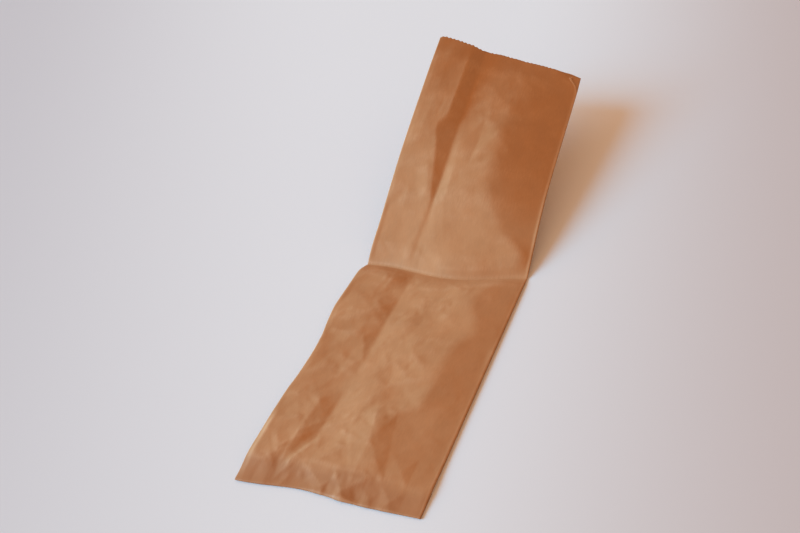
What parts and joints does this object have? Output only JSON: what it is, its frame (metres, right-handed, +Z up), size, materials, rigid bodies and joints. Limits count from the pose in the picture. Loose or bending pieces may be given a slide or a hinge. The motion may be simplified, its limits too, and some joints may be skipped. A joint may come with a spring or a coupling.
{
  "type": "paper baguette bag",
  "caption": "Flat gusseted kraft paper bag for a long loaf, empty and lying on its back, creased across the middle so that the open toothed mouth stands raised with a twist.",
  "frame": {"origin": "middle of the bounding box in plan, on the table that the lower half lies on", "axes": "+X across the bag, +Y from the glued bottom to the mouth, +Z up from the table"},
  "size_m": [0.1046, 0.3566, 0.0686],
  "materials": {
    "kraft_paper": "uncoated brown kraft with fine fibres and soft creases"
  },
  "bodies": {
    "root": {"bag": "kraft_paper"}
  },
  "joints": []
}
